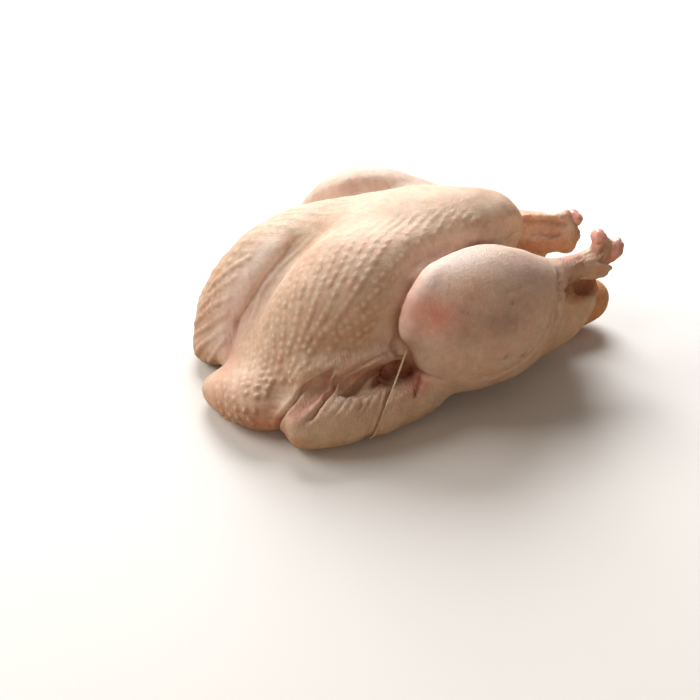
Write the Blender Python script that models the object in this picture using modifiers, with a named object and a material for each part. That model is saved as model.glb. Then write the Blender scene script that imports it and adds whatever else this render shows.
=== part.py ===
"""Whole raw chicken, trussed, lying on its back: one solid of skin and flesh, and the elastic that ties it.

Frame: metres, +Z up, neck towards -X, tail and legs towards +X, the bird's two sides towards -Y and +Y.
Every mass of the body is a closed swept form: a round primitive drawn out along a smooth spine.
The masses are fused with a voxel remesh, eased, cut flat where the bird rests, and thinned.
"""

import math

import bmesh
import bpy
import numpy as np
from mathutils import Matrix, Vector
from mathutils.bvhtree import BVHTree

MM = 0.001

# Driving sizes, in millimetres.
SOFT_VOXEL = 2.6
FUSE_VOXEL = 2.0
TRIANGLES = 8600
ELASTIC_RADIUS = 0.65
SKIN_GAP = 0.6
TAUT_TURNS = 40

# Stations of a swept form: x, y, z of its spine, then half width, height above and depth below the spine.
TRUNK = (
    (-118, 0, 12, 24, 8, 15),
    (-96, 0, 24, 50, 12, 28),
    (-62, 0, 38, 60, 26, 42),
    (-12, 0, 44, 57, 46, 49),
    (36, 0, 40, 50, 40, 45),
    (74, 0, 29, 42, 20, 32),
    (108, 0, 19, 30, 14, 20),
)
KEEL = (
    (-50, 0, 66, 18, 20, 26),
    (-32, 0, 68, 38, 31, 34),
    (-4, 0, 72, 43, 35, 36),
    (25, 0, 74, 40, 34, 36),
    (56, 0, 79, 25, 26, 22),
    (79, 0, 81, 13, 11, 9),
)
BREAST_LOBE = (
    (-106, -31, 0, 22, 13, 12),
    (-86, -35, 27, 29, 17, 30),
    (-63, -31, 53, 33, 28, 36),
    (-36, -27, 68, 38, 33, 38),
    (0, -24, 70, 37, 32, 38),
    (38, -18, 70, 28, 29, 30),
    (70, -6, 77, 12, 13, 11),
)
FAR_LOBE = (
    (-120, 30, 6, 22, 14, 12),
    (-97, 34, 32, 31, 22, 30),
    (-74, 32, 53, 33, 28, 36),
    (-42, 28, 62, 36, 32, 36),
    (0, 24, 68, 37, 32, 38),
    (38, 18, 70, 30, 29, 30),
    (70, 7, 77, 14, 13, 11),
)
NECK_SKIN = (
    (-125, -10, 8, 12, 8, 8),
    (-116, -26, 12, 18, 13, 14),
    (-104, -44, 16, 22, 16, 18),
    (-86, -62, 20, 20, 18, 20),
)
LEG = (
    (-30, -60, 48, 12, 16, 16),
    (-12, -60, 52, 30, 35, 35),
    (14, -59, 55, 36, 44, 45),
    (42, -56, 57, 33, 41, 44),
    (62, -51, 61, 23, 30, 38),
    (82, -45, 66, 10, 11, 20),
    (98, -41, 68, 8, 8, 9),
    (114, -39, 70, 8, 9, 9),
)
FAR_LEG = (
    (-52, 60, 46, 12, 16, 16),
    (-34, 61, 50, 30, 35, 35),
    (-8, 60, 54, 36, 45, 45),
    (22, 56, 54, 32, 39, 42),
    (46, 48, 57, 22, 28, 36),
    (72, 35, 58, 14, 18, 20),
    (98, 25, 56, 12, 15, 15),
    (126, 18, 58, 12, 12, 14),
)
# Round forms: x, y, z of the centre, then half length along x, half width and half height.
HOCK_KNOBS = (
    (110, -39, 82, 6, 7, 6),
    (119, -39, 73, 6, 7, 8),
    (120, 19, 56, 12, 12, 15),
)
FLANK = (
    (50, -42, 26, 20, 20, 20),
    (78, -39, 31, 20, 23, 20),
    (97, -36, 40, 16, 14, 16),
    (110, -32, 48, 12, 9, 12),
)
TAIL = (
    (84, -3, 18, 24, 18, 20),
    (112, -5, 19, 19, 17, 19),
    (140, -7, 20, 11, 12, 12),
)
UPPER_ARM = (
    (-88, -58, 36, 14, 11, 12),
    (-52, -66, 41, 11, 9, 12),
    (-14, -64, 43, 12, 10, 12),
)
FOREARM = (
    (-99, -74, 18, 12, 13, 16),
    (-82, -78, 18, 16, 16, 18),
    (-62, -80, 19, 17, 17, 19),
    (-40, -79, 19, 14, 15, 19),
    (-16, -72, 20, 14, 15, 18),
    (10, -62, 22, 11, 12, 14),
)

# Creases of the skin: width and depth, then x, y, z of the points that its line runs through.
WING_CREASES = (
    (4.5, 6, ((-100, -80, 4), (-98, -79, 20), (-93, -79, 28), (-84, -76, 34), (-70, -75, 40))),
    (3.5, 3, ((-66, -76, 43), (-52, -74, 47), (-38, -72, 50), (-26, -70, 52))),
    (4.5, 9, ((-58, -80, 36), (-45, -78, 38), (-34, -78, 40), (-22, -79, 38))),
    (4.0, 5, ((-40, -78, 38), (-30, -80, 36), (-20, -81, 35))),
    (3.5, 4, ((-30, -80, 38), (-36, -86, 32), (-42, -92, 24), (-47, -94, 14), (-49, -92, 4))),
    (3.5, 7, ((-49, -92, 2), (-49, -84, -1), (-48, -74, 0))),
)
VENT_HOLLOW = (
    (11, 12, ((80, -8, 44), (84, 0, 43), (80, 8, 44))),
)
CLEFT = (
    (6.5, 5, ((-66, 8, 80), (-78, 6, 72), (-88, 5, 62), (-97, 5, 50), (-105, 3, 38), (-113, -3, 26), (-120, -6, 14))),
)
# The valleys where the thighs press against the breast, and the creases behind the thighs.
NEAR_CREASES = (
    (4.0, 5, ((-22, -76, 44), (-29, -68, 58), (-27, -65, 72), (-20, -61, 84))),
    (6.0, 11, ((-22, -60, 84), (-10, -49, 94), (8, -43, 98), (26, -38, 97), (44, -33, 92), (60, -27, 86), (76, -22, 78))),
    (3.5, 4, ((74, -50, 79), (73, -62, 73), (71, -70, 62), (71, -71, 50), (67, -71, 34))),
)
FAR_CREASES = (
    (6.0, 11, ((-44, 60, 84), (-32, 49, 93), (-14, 44, 98), (4, 40, 97), (22, 35, 92), (40, 28, 87), (58, 20, 80))),
    (3.5, 4, ((52, 44, 74), (51, 56, 68), (50, 62, 58), (48, 62, 44))),
)

# The elastic: from the crease behind the knee, taut over the wing and pinching it, to the bird's underside.
ELASTIC = (
    (-20, -72, 50),
    (-27, -78, 45),
    (-36, -87, 32),
    (-43, -93, 23),
    (-47, -95, 13),
    (-49, -92, 6),
    (-49, -86, 2.5),
    (-48, -78, 2.5),
)
FAR_ELASTIC = (
    (-42, 84, 37),
    (-43, 90, 31),
    (-45, 94, 22),
    (-47, 95, 13),
    (-49, 92, 6),
    (-49, 86, 2.5),
    (-48, 78, 2.5),
)
# The elastic's loose end, curled beside the tip of the breast.
CURL = (
    (58, -20, 80),
    (62, -18, 84),
    (68, -16, 85),
    (72, -14, 81),
    (70, -15, 77),
    (65, -17, 77),
)


def clear_scene():
    for obj in list(bpy.data.objects):
        bpy.data.objects.remove(obj, do_unlink=True)


def new_collection(name):
    collection = bpy.data.collections.new(name)
    bpy.context.scene.collection.children.link(collection)
    return collection


def mirrored(stations):
    return tuple((x, -y, *rest) for x, y, *rest in stations)


def moved(stations, first, last):
    """The stations with each end's centre moved by its own offset, and those between in proportion."""
    rows = np.array(stations, float)
    share = np.linspace(0, 1, len(rows))[:, None]
    rows[:, :3] += (1 - share) * np.array(first) + share * np.array(last)
    return rows


def spline(values, share):
    """Catmull-Rom through the rows of values, read at shares from 0 to 1."""
    rows = np.asarray(values, float)
    rows = np.vstack([2 * rows[0] - rows[1], rows, 2 * rows[-1] - rows[-2]])
    place = np.asarray(share) * (len(rows) - 3)
    first = np.minimum(place.astype(int), len(rows) - 4)
    t = (place - first)[:, None]
    a, b, c, d = (rows[first + k] for k in range(4))
    return b + 0.5 * t * (c - a + t * (2 * a - 5 * b + 4 * c - d + t * (3 * (b - c) + d - a)))


def swept_form(name, stations, collection, cap=0.15, sides=40, rings=48):
    """A closed form along a spine. cap is the share of the spine that each rounded end takes."""
    shape = bmesh.new()
    bmesh.ops.create_uvsphere(shape, u_segments=sides, v_segments=rings, radius=1.0)
    unit = np.array([vertex.co for vertex in shape.verts])
    share = (1 + np.clip(unit[:, 2], -1, 1)) / 2
    ring = np.maximum(np.hypot(unit[:, 0], unit[:, 1]), 1e-9)
    from_end = np.minimum(share, 1 - share).clip(0, cap) / cap
    size = np.sqrt(1 - (1 - from_end) ** 2)
    place = spline(stations, share)
    step = 0.01
    tangent = (spline(stations, np.minimum(share + step, 1)) - spline(stations, np.maximum(share - step, 0)))[:, :3]
    tangent /= np.linalg.norm(tangent, axis=1, keepdims=True)
    lateral = np.cross([0.0, 0.0, 1.0], tangent)
    lateral /= np.linalg.norm(lateral, axis=1, keepdims=True)
    upward = np.cross(tangent, lateral)
    across = unit[:, 0] / ring * place[:, 3] * size
    rise = unit[:, 1] / ring * np.where(unit[:, 1] > 0, place[:, 4], place[:, 5]) * size
    points = (place[:, :3] + across[:, None] * lateral + rise[:, None] * upward) * MM
    for vertex, point in zip(shape.verts, points):
        vertex.co = point
    bmesh.ops.recalc_face_normals(shape, faces=shape.faces)
    return finished(name, shape, collection)


def round_form(name, centre_and_radii, collection):
    x, y, z, *radii = centre_and_radii
    shape = bmesh.new()
    bmesh.ops.create_uvsphere(shape, u_segments=24, v_segments=16, radius=MM)
    bmesh.ops.scale(shape, vec=radii, verts=shape.verts)
    bmesh.ops.translate(shape, vec=(x * MM, y * MM, z * MM), verts=shape.verts)
    return finished(name, shape, collection)


def finished(name, shape, collection):
    mesh = bpy.data.meshes.new(name)
    shape.to_mesh(mesh)
    shape.free()
    obj = bpy.data.objects.new(name, mesh)
    collection.objects.link(obj)
    return obj


def apply_modifiers(obj):
    bpy.context.view_layer.update()
    evaluated = obj.evaluated_get(bpy.context.evaluated_depsgraph_get())
    mesh = bpy.data.meshes.new_from_object(evaluated)
    obj.modifiers.clear()
    obj.data = mesh


def fused(name, pieces, collection, voxel, factor, repeats):
    """The pieces as one skin: joined, remeshed, and eased where they meet."""
    shape = bmesh.new()
    for piece in pieces:
        shape.from_mesh(piece.data)
    obj = finished(name, shape, collection)
    for piece in pieces:
        bpy.data.objects.remove(piece, do_unlink=True)
    remesh = obj.modifiers.new("Fuse", "REMESH")
    remesh.mode = "VOXEL"
    remesh.voxel_size = voxel * MM
    remesh.adaptivity = 0.0
    ease = obj.modifiers.new("Ease", "SMOOTH")
    ease.factor = factor
    ease.iterations = repeats
    apply_modifiers(obj)
    return obj


def build_body(collection):
    soft = fused(
        "trunk",
        [
            swept_form("core", TRUNK, collection),
            swept_form("keel", KEEL, collection),
            swept_form("lobe_l", BREAST_LOBE, collection),
            swept_form("lobe_r", FAR_LOBE, collection),
            swept_form("neck_l", NECK_SKIN, collection),
            swept_form("neck_r", moved(mirrored(NECK_SKIN), (2, 0, 0), (8, 0, 0)), collection),
            swept_form("flank_l", FLANK, collection),
            swept_form("flank_r", mirrored(FLANK), collection),
            swept_form("tail", TAIL, collection),
        ],
        collection,
        SOFT_VOXEL,
        0.6,
        12,
    )
    limbs = [
        swept_form("leg_l", LEG, collection),
        swept_form("leg_r", FAR_LEG, collection),
        swept_form("arm_l", UPPER_ARM, collection),
        swept_form("arm_r", mirrored(UPPER_ARM), collection),
        swept_form("forearm_l", FOREARM, collection),
        swept_form("forearm_r", mirrored(FOREARM), collection),
        *(round_form("knob", knob, collection) for knob in HOCK_KNOBS),
    ]
    body = fused("chicken", [soft, *limbs], collection, FUSE_VOXEL, 0.5, 4)
    press(body, CLEFT + VENT_HOLLOW + WING_CREASES + NEAR_CREASES + FAR_CREASES)
    press(body, [(width, depth, mirrored(path)) for width, depth, path in WING_CREASES])
    return body


def press(obj, creases):
    """Presses each crease in along the skin's normals, deepest on its line."""
    mesh = obj.data
    count = len(mesh.vertices)
    points = np.empty(count * 3)
    mesh.vertices.foreach_get("co", points)
    points = points.reshape(-1, 3) / MM
    normals = np.array([vertex.normal for vertex in mesh.vertices])
    for width, depth, path in creases:
        line = spline(path, np.linspace(0, 1, 12 * len(path)))
        away = np.min(np.linalg.norm(points[:, None] - line[None], axis=2), axis=1)
        points -= depth * np.exp(-((away / width) ** 2))[:, None] * normals
    mesh.vertices.foreach_set("co", (points * MM).ravel())
    mesh.update()


def rest_flat(obj):
    """Cuts the underside level, so that the bird rests on a true flat face at z = 0."""
    shape = bmesh.new()
    shape.from_mesh(obj.data)
    everything = shape.verts[:] + shape.edges[:] + shape.faces[:]
    bmesh.ops.bisect_plane(shape, geom=everything, dist=1e-6, plane_co=(0, 0, 0), plane_no=(0, 0, -1), clear_outer=True)
    edges = [edge for edge in shape.edges if edge.is_boundary]
    bmesh.ops.holes_fill(shape, edges=edges)
    shape.to_mesh(obj.data)
    shape.free()


def elastic(name, route, skin, collection, spacing):
    """A round thread along the route, lifted clear of the skin wherever the route would touch it."""
    tree = BVHTree.FromObject(skin, bpy.context.evaluated_depsgraph_get())
    clear = (ELASTIC_RADIUS + SKIN_GAP) * MM
    reach = sum(math.dist(a, b) for a, b in zip(route, route[1:]))
    points = [Vector(row) * MM for row in spline(route, np.linspace(0, 1, int(reach / spacing)))]
    for turn in range(TAUT_TURNS):
        for index, point in enumerate(points):
            if turn < TAUT_TURNS / 2 and 0 < index < len(points) - 1:
                point = (point * 2 + points[index - 1] + points[index + 1]) / 4
            near, normal, _, distance = tree.find_nearest(point)
            if distance < clear or (point - near).dot(normal) < 0:
                point = near + normal * clear
            points[index] = point
    curve = bpy.data.curves.new(name, "CURVE")
    curve.dimensions = "3D"
    curve.bevel_depth = ELASTIC_RADIUS * MM
    curve.bevel_resolution = 2
    curve.use_fill_caps = True
    thread = curve.splines.new("POLY")
    thread.points.add(len(points) - 1)
    for place, point in zip(thread.points, points):
        place.co = (*point, 1)
    obj = bpy.data.objects.new(name, curve)
    collection.objects.link(obj)
    return obj


def paint(obj, name, colour, roughness):
    material = bpy.data.materials.new(name)
    material.use_nodes = True
    shader = material.node_tree.nodes["Principled BSDF"]
    shader.inputs["Base Color"].default_value = (*colour, 1)
    shader.inputs["Roughness"].default_value = roughness
    obj.data.materials.append(material)


def thin_out(obj, triangles):
    thin = obj.modifiers.new("Thin", "DECIMATE")
    count = sum(len(face.vertices) - 2 for face in obj.data.polygons)
    thin.ratio = min(1.0, triangles / count)
    thin.use_collapse_triangulate = True
    apply_modifiers(obj)


def centre_on_base(chicken, threads):
    """Moves everything level, so that the origin is the middle of the bird's outline on the table."""
    points = np.array([vertex.co for vertex in chicken.data.vertices])
    middle = (points.min(axis=0) + points.max(axis=0)) / 2
    away = Matrix.Translation((-middle[0], -middle[1], 0))
    for obj in (chicken, *threads):
        obj.data.transform(away)


def main():
    clear_scene()
    bird = new_collection("raw_chicken")
    chicken = build_body(bird)
    thin_out(chicken, TRIANGLES)
    rest_flat(chicken)
    chicken.data.shade_smooth()
    paint(chicken, "raw_skin", (0.60, 0.42, 0.33), 0.4)
    threads = [
        elastic("elastic_near", ELASTIC, chicken, bird, 2.6),
        elastic("elastic_far", FAR_ELASTIC, chicken, bird, 2.6),
        elastic("elastic_curl", CURL, chicken, bird, 1.8),
    ]
    for thread in threads:
        paint(thread, thread.name, (0.72, 0.60, 0.44), 0.5)
    centre_on_base(chicken, threads)


main()
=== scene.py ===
"""Whole raw chicken, trussed and lying on its back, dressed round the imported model.

Every place on the bird is in millimetres in the model's own frame: x from neck to tail, y across the bird
with the pinched wing towards -y, and z up from the table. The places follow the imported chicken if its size
changes.
"""

import math
from contextlib import contextmanager
from itertools import product

import bpy
import numpy as np
from bpy.props import FloatProperty, FloatVectorProperty, IntProperty, PointerProperty
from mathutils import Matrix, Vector, noise
from mathutils.bvhtree import BVHTree
from mathutils.kdtree import KDTree


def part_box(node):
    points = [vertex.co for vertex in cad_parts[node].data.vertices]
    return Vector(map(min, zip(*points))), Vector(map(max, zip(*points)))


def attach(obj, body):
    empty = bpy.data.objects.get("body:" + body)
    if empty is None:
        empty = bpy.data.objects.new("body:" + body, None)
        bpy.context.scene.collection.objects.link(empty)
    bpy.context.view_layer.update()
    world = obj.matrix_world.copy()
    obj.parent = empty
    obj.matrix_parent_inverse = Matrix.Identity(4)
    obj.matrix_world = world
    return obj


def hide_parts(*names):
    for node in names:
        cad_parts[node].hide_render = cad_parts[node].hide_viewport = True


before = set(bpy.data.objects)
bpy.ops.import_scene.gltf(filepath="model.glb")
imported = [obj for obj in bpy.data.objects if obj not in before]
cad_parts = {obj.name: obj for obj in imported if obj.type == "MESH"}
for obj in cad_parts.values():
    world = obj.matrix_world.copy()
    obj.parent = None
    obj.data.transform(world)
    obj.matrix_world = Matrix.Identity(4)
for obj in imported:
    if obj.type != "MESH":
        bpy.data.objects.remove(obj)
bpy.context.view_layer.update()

bl_info = {
    "name": "Raw chicken",
    "version": (1, 0, 0),
    "blender": (4, 5, 0),
    "location": "3D View > Sidebar > Chicken",
    "description": "Skin, folds, cartilage and elastic of a whole raw chicken, with its studio stage",
    "category": "Add Mesh",
}

MM = 0.001
BIRD_LOW, BIRD_HIGH = (np.array(corner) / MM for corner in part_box("chicken"))
# The corners of the box that the places below are given in.
GIVEN_LOW = np.array((-135.9, -96.8, 0.0))
GIVEN_HIGH = np.array((135.9, 96.8, 107.8))
# Steps of a line for each place that its route runs through, and steps of a whole limb or wrinkle.
STEPS_PER_PLACE = 14
LINE_STEPS = 40

# Limbs: x, y, z along the middle, then half width and half height.
THIGH = (
    (-33, -60, 48, 14, 18), (-15, -60, 52, 30, 35), (11, -59, 56, 36, 44), (39, -56, 58, 33, 42),
    (59, -51, 62, 23, 33), (79, -45, 66, 11, 16),
)
FAR_THIGH = (
    (-55, 60, 46, 14, 18), (-37, 61, 50, 30, 35), (-11, 60, 54, 36, 45), (19, 56, 54, 32, 41),
    (43, 48, 57, 22, 32), (69, 35, 58, 14, 19),
)
SHANK = ((72, -47, 66, 14, 15), (95, -41, 68, 9, 9), (113, -39, 70, 9, 10))
FAR_SHANK = ((76, 32, 57, 14, 17), (95, 25, 56, 13, 15), (123, 18, 58, 13, 15))
FOREARM = ((-102, -74, 18, 13, 15), (-65, -80, 19, 17, 19), (-43, -79, 19, 15, 18), (7, -62, 22, 12, 14))
UPPER_ARM = ((-91, -58, 36, 13, 12), (-55, -66, 41, 11, 11), (-17, -64, 43, 12, 12))
TAIL = ((84, -3, 18, 22, 20), (109, -5, 19, 18, 18), (137, -7, 20, 13, 13))

# The torn skin round the near hock: x, y, z along its middle, then half width and half height.
TORN_SLEEVE = ((84, -43, 66.5, 5.0, 5.4), (98, -41, 67.5, 8.4, 8.8), (112, -40, 68, 9.4, 10.6))

# Rolled folds of skin: radius at the middle, then the points that they run through.
ROLLED_FOLDS = (
    (2.4, ((-121, -12, 17), (-123, -20, 18), (-121, -29, 21), (-118, -38, 23))),
    (1.5, ((98, -43, 65), (102, -43, 61), (107, -42, 59), (113, -41, 62))),
    (1.1, ((97, -46, 67), (102, -46, 64), (108, -44, 64), (114, -42, 67))),
    (1.3, ((103, -47, 79), (107, -46, 76), (111, -45, 73), (114, -42, 69))),
    (1.1, ((100, -48, 75), (104, -48, 72), (108, -46, 69), (111, -44, 66))),
    (1.5, ((108, -39, 84), (112, -38, 82), (115, -38, 79))),
    (2.6, ((84, -53, 54), (96, -49, 51), (105, -43, 49), (112, -34, 48))),
    (5.0, ((80, -45, 58), (89, -40, 57), (98, -35, 56), (105, -33, 54), (110, -33, 50))),
    (2.0, ((80, 24, 71), (92, 20, 72), (104, 16, 71), (112, 14, 70))),
    (3.6, ((107, 18, 68), (113, 18, 71), (118, 20, 69), (121, 21, 63))),
    (2.4, ((86, 13, 58), (98, 11, 57), (110, 10, 56))),
    (3.0, ((112, 12, 48), (119, 13, 48), (123, 20, 48))),
)

# The bottoms of the valleys between the thighs and the breast.
VALLEY = (
    (-29, -63, 62), (-25, -59, 74), (-18, -54, 85), (-6, -48, 94), (8, -42, 97), (26, -38, 96),
    (44, -32, 91), (60, -26, 86),
)
FAR_VALLEY = (
    (-48, 62, 66), (-44, 60, 78), (-32, 49, 93), (-14, 44, 98), (4, 40, 97), (22, 35, 92), (40, 28, 87),
)

# Where the near thigh lies against the breast.
THIGH_FOLD = (
    (-27, -66, 58), (-26, -65, 72), (-19, -60, 82), (-12, -56, 87), (-5, -48, 89), (8, -42, 91),
    (18, -38, 89), (35, -30, 87), (48, -27, 84),
)

# The flank's skin that the edge of the thigh just covers, where a line of painted shade is laid.
THIGH_EDGE = (
    (-12, -53, 86), (-20, -58, 80), (-26, -64, 75), (-28, -64, 65), (-28, -67, 57), (-25, -75, 51),
    (-21, -70, 41),
)

# Creases: width, depth and the height of the lips beside them, then the points. A ridge has a depth below 0.
BROAD_CREASES = (
    (4.4, 2.6, 0.0, ((-70, -71, 39), (-78, -74, 33), (-88, -80, 30), (-96, -85, 25))),
    (4.4, 9.5, 0.0, ((-41, -73, 34), (-35, -72, 35), (-28, -71, 36), (-21, -73, 34))),
    (5.0, -2.4, 0.0, (
        (-36, -62, 72), (-32, -58, 78), (-26, -52, 83), (-20, -47, 87), (-11, -42, 90), (-2, -38, 93),
    )),
    (6.0, -3.2, 0.0, ((-29, -62, 68), (-25, -59, 75), (-20, -54, 81), (-13, -49, 85))),
    (6.5, 4.5, 0.0, ((54, -29, 77), (61, -22, 80), (66, -14, 83), (69, -5, 86))),
    (4.0, 3.0, 0.4, ((86, -50, 59), (93, -45, 54), (100, -42, 52), (106, -40, 51))),
    (8.0, -3.6, 0.0, (
        (-28, -76, 52), (-28, -76, 62), (-26, -74, 72), (-21, -69, 82), (-12, -63, 90), (-2, -58, 96),
    )),
    (7.0, -4.2, 0.0, (
        (-68, 14, 84), (-76, 13, 77), (-84, 12, 69), (-92, 11, 60), (-99, 10, 50), (-104, 8, 40),
        (-109, 5, 30),
    )),
    (2.4, 2.6, 0.3, ((88, -50, 60), (98, -47, 57), (108, -40, 55))),
    (2.4, 2.4, 0.3, ((102, -28, 46), (112, -24, 40), (118, -20, 32), (118, -18, 22))),
    (2.2, 2.2, 0.0, ((-46, 74, 48), (-50, 68, 58), (-48, 64, 70), (-42, 59, 82))),
    (3.6, 2.2, 0.0, ((-70, 71, 39), (-78, 74, 33), (-88, 80, 30))),
)
SHARP_CREASES = (
    (2.1, 4.8, 0.0, THIGH_FOLD),
    (1.3, 3.4, 0.5, (
        (-66, -72, 46), (-70, -72, 42), (-77, -70, 38), (-86, -71, 33), (-93, -74, 28), (-98, -75, 23),
        (-101, -73, 16), (-100, -69, 8), (-98, -66, 2),
    )),
    (0.9, -1.5, 0.0, (
        (-66, -73, 47), (-68, -73, 44), (-69, -73, 40), (-70, -74, 37), (-74, -78, 34), (-79, -84, 33),
        (-85, -88, 31),
    )),
    (1.3, 3.6, 0.4, (
        (-67, -73, 40), (-70, -76, 36), (-76, -83, 34), (-81, -87, 32), (-85, -90, 29), (-92, -91, 24),
    )),
    (1.1, 1.5, 0.4, (
        (-31, -68, 49), (-39, -70, 48), (-47, -71, 46), (-56, -74, 44), (-64, -75, 40), (-69, -75, 36),
    )),
    (1.3, 3.2, 0.4, (
        (-29, -72, 45), (-34, -70, 41), (-39, -71, 38), (-45, -70, 37), (-50, -71, 34), (-55, -73, 31),
        (-60, -77, 30), (-66, -84, 34),
    )),
    (1.5, 2.4, 0.3, ((-49, -76, 31), (-44, -74, 33), (-40, -73, 34), (-34, -73, 35))),
    (1.0, -1.0, 0.0, ((-50, -72, 32), (-44, -71, 35), (-39, -71, 37), (-31, -70, 41))),
    (1.2, 2.4, 0.5, ((-18, -77, 34), (-20, -79, 31), (-22, -82, 29), (-25, -86, 27))),
    (1.1, 2.0, 0.7, (
        (-31, -73, 33), (-36, -79, 31), (-41, -85, 28), (-45, -89, 23), (-48, -91, 17), (-50, -91, 10),
        (-50, -90, 3),
    )),
    (1.4, 1.5, 0.0, (
        (-60, 13, 87), (-72, 12, 78), (-80, 11, 70), (-90, 9, 59), (-97, 8, 48), (-106, 6, 35),
        (-113, 0, 26), (-119, -7, 15),
    )),
    (1.5, -0.9, 0.0, (
        (-54, 8, 88), (-66, 7, 79), (-78, 5, 70), (-88, 4, 59), (-95, 1, 48), (-102, -5, 36),
        (-108, -10, 28), (-116, -22, 25),
    )),
    (1.3, 3.0, 0.2, (
        (-26, -60, 72), (-29, -63, 60), (-32, -66, 51), (-30, -70, 45), (-26, -71, 41), (-20, -75, 37),
        (-16, -83, 37), (-10, -87, 35), (-3, -88, 31),
    )),
    (1.2, 2.6, 0.4, (
        (74, -50, 76), (72, -58, 72), (71, -64, 66), (69, -66, 60), (68, -67, 50), (67, -67, 40),
        (66, -66, 31),
    )),
    (0.9, 0.7, 0.2, ((-3, -86, 80), (3, -88, 78), (10, -91, 75))),
    (0.9, 0.5, 0.15, ((25, -84, 85), (32, -83, 85), (41, -80, 85))),
    (1.0, 0.7, 0.3, ((34, -91, 42), (40, -89, 47), (47, -87, 51), (54, -84, 56))),
    (1.8, 0.9, 0.5, (
        (64, -70, 69), (59, -79, 58), (49, -85, 48), (36, -88, 39), (18, -91, 35), (2, -91, 38),
    )),
    (1.3, 1.8, 0.4, ((74, -64, 65), (82, -57, 63), (90, -50, 60), (99, -46, 57))),
    (1.4, 1.8, 0.3, ((74, 26, 68), (90, 19, 68), (104, 14, 67), (114, 11, 65))),
    (1.4, 1.8, 0.3, ((84, 18, 60), (98, 13, 60), (112, 10, 60))),
    (1.2, 1.6, 0.4, ((44, -32, 87), (52, -28, 84), (60, -22, 79))),
    (1.3, 1.6, 0.4, ((100, -49, 70), (104, -49, 76), (107, -43, 79), (107, -37, 79))),
    (1.3, 3.2, 0.5, ((-66, 72, 46), (-77, 70, 38), (-93, 74, 28), (-101, 73, 16), (-98, 66, 2))),
    (0.9, -1.4, 0.0, ((-66, 73, 47), (-69, 73, 40), (-79, 84, 33), (-85, 88, 31))),
    (1.3, 3.2, 0.4, ((-67, 73, 40), (-76, 83, 34), (-85, 90, 29))),
    (1.1, 1.6, 0.4, ((-44, 71, 46), (-56, 74, 44), (-64, 75, 40))),
    (1.3, 2.8, 0.4, ((-45, 70, 37), (-55, 73, 31), (-66, 84, 34))),
    (1.3, 2.2, 0.7, ((-44, 83, 33), (-46, 90, 24), (-48, 92, 14), (-50, 91, 4))),
    (1.2, 2.0, 0.4, ((50, 46, 73), (50, 57, 66), (48, 64, 56), (44, 68, 42))),
)

# Rows of follicles on the near side: where the first, the last and some between them start, pass and end.
FAN_ROWS = (
    ((-127, -51, 8), (-129, -45, 17), (-128, -35, 24)),
    ((-120, -61, 9), (-120, -52, 24), (-116, -30, 28)),
    ((-115, -66, 12), (-108, -44, 31), (-97, -5, 43)),
    ((-112, -67, 16), (-98, -38, 45), (-78, 5, 69)),
    ((-110, -68, 19), (-90, -46, 58), (-51, 4, 88)),
    ((-108, -68, 22), (-78, -54, 67), (-18, -3, 105)),
    ((-106, -68, 24), (-64, -60, 69), (14, -4, 108)),
    ((-103, -69, 23), (-47, -64, 71), (45, -2, 105)),
    ((-102, -70, 22), (-42, -66, 57), (60, -6, 100)),
    ((-101, -71, 21), (-57, -71, 48), (-34, -70, 52)),
)
# Ridges of gathered skin down the front of the far half of the breast, given in the same way.
GATHERED_ROWS = (
    ((-95, 19, 72), (-108, 28, 57), (-119, 36, 42)),
    ((-104, 17, 60), (-114, 27, 46), (-124, 35, 31)),
    ((-109, 14, 49), (-118, 25, 37), (-127, 34, 22)),
    ((-113, 13, 38), (-122, 21, 27), (-130, 28, 17)),
    ((-115, 12, 29), (-124, 16, 20), (-131, 18, 11)),
    ((-115, 7, 24), (-122, 7, 16), (-128, 6, 7)),
)

# Wrinkles: the line they start on, the line they end on, how many, their width and depth.
WRINKLES = (
    (
        ((-109, -63, 29), (-107, -66, 21), (-106, -66, 12)),
        ((-97, -68, 31), (-97, -70, 22), (-98, -69, 13)),
        6, 1.0, 0.8,
    ),
    (
        ((-127, -44, 20), (-121, -56, 18), (-113, -65, 16)),
        ((-126, -46, 6), (-119, -60, 5), (-112, -66, 4)),
        7, 1.1, 0.6,
    ),
    (
        ((-86, -91, 26), (-79, -91, 30), (-71, -95, 26), (-63, -95, 25), (-55, -95, 22)),
        ((-61, -76, 30), (-52, -73, 31), (-46, -75, 31), (-41, -77, 31), (-40, -82, 30)),
        12, 0.8, 1.0,
    ),
    (
        ((-55, -94, 22), (-54, -95, 16), (-54, -94, 10)),
        ((-43, -86, 27), (-46, -90, 22), (-48, -91, 15)),
        4, 0.8, 0.5,
    ),
    (
        ((-32, -80, 31), (-26, -86, 28), (-22, -88, 22), (-22, -85, 12)),
        ((-38, -83, 29), (-41, -87, 27), (-44, -89, 23), (-48, -92, 12)),
        6, 0.8, 0.55,
    ),
    (
        ((-69, -72, 42), (-70, -73, 38), (-72, -74, 35)),
        ((-97, -77, 26), (-94, -83, 27), (-89, -88, 29)),
        8, 0.55, 0.42,
    ),
    (
        ((-92, 15, 66), (-104, 13, 48), (-114, 8, 26)),
        ((-92, 8, 58), (-106, 4, 36), (-116, -3, 18)),
        7, 1.0, 0.6,
    ),
    (((80, -58, 62), (84, -54, 58)), ((104, -46, 62), (104, -44, 56)), 3, 0.8, 0.3),
    (((74, 22, 74), (76, 14, 58)), ((108, 17, 69), (110, 9, 54)), 7, 0.9, 0.6),
    (((78, -50, 78), (78, -54, 68)), ((102, -42, 77), (101, -46, 68)), 6, 0.8, 0.35),
    (
        ((-62, 87, 33), (-77, 92, 29), (-79, 95, 12)),
        ((-41, 84, 30), (-46, 90, 23), (-49, 92, 10)),
        8, 0.9, 0.6,
    ),
    (((88, -52, 46), (94, -50, 36)), ((112, -36, 44), (112, -34, 34)), 4, 1.0, 0.4),
)
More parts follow.
